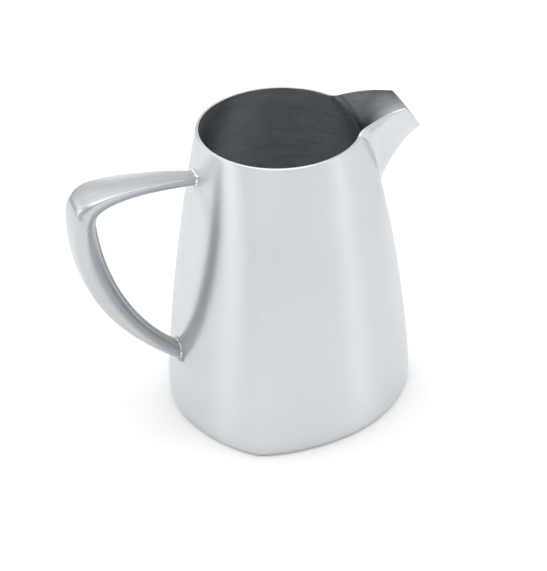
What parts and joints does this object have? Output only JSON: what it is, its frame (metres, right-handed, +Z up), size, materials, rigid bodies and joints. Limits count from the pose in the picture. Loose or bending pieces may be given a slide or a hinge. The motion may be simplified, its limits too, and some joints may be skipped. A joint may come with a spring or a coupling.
{
  "type": "cream jug",
  "caption": "Tapered satin steel cream jug: rounded three-sided base, round mouth, welded V spout and solid loop handle opposite.",
  "frame": {"origin": "on the surface that the jug stands on, under the middle of the body", "axes": "+Z up along the body's axis, +X towards the spout, -X towards the handle"},
  "size_m": [0.1104, 0.0728, 0.094],
  "materials": {
    "satin_sheet": "fine circumferential satin brushing on deep-drawn sheet",
    "base_sheet": "turned satin on the underside and the inside of the base",
    "satin_casting": "satin casting, brushed along its length, with softened edges",
    "polished_weld": "small polished weld beads"
  },
  "bodies": {
    "root": {"body_wall": "satin_sheet", "base_plate": "base_sheet", "base_seam_weld": "polished_weld", "spout": "satin_sheet", "spout_seam_weld": "polished_weld", "handle": "satin_casting", "handle_upper_weld": "polished_weld", "handle_lower_weld": "polished_weld"}
  },
  "joints": []
}
